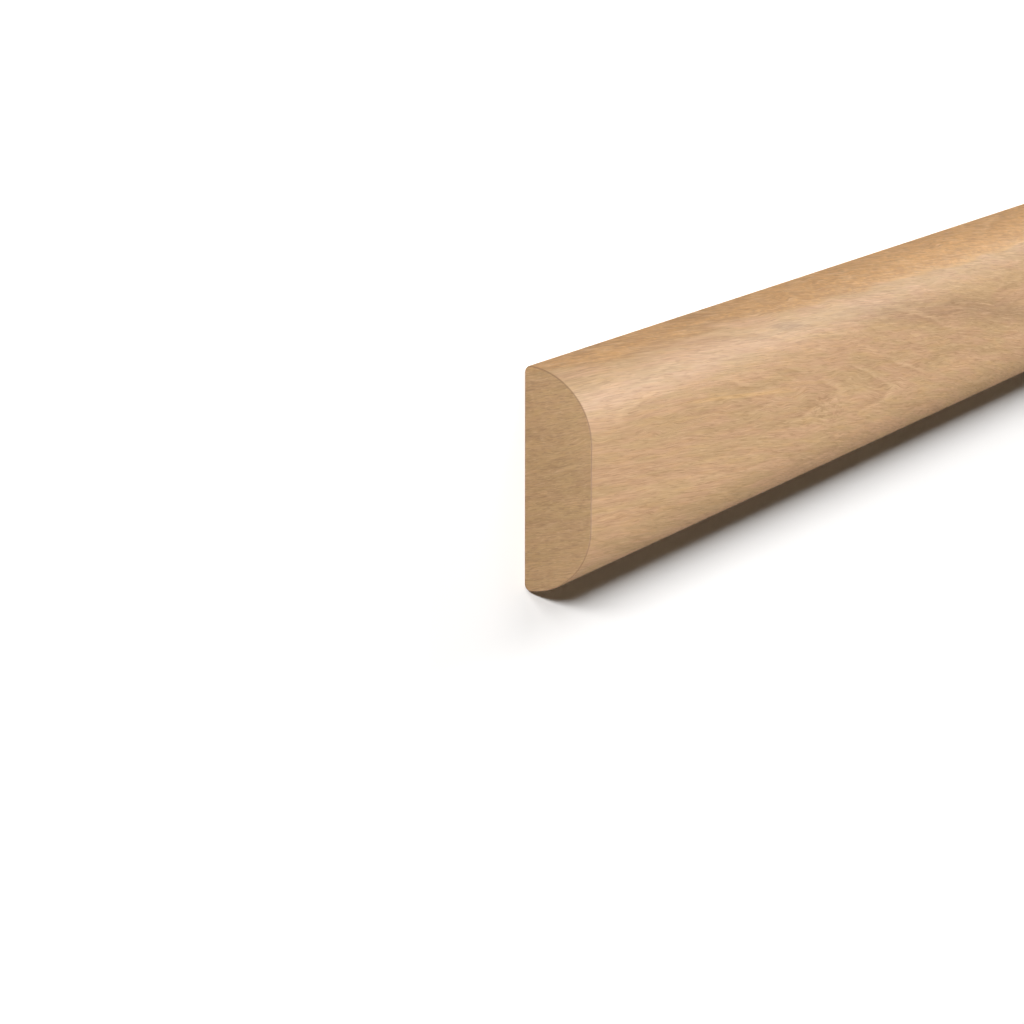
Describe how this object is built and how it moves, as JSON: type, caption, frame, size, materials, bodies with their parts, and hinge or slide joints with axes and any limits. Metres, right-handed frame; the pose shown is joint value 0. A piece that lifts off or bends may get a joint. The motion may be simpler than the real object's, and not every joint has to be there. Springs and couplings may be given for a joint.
{
  "type": "batten moulding",
  "caption": "Straight hardwood batten moulding with a flat back, a flat land down the front, a large round nose along each long edge and square-sawn ends.",
  "frame": {"origin": "centre of the flat back face, which lies on the floor", "axes": "+X along the length, +Y across the width, +Z out of the front face, away from the wall"},
  "size_m": [1, 0.045, 0.015],
  "materials": {
    "wood": "satin"
  },
  "bodies": {
    "root": {"batten": "wood"}
  },
  "joints": []
}
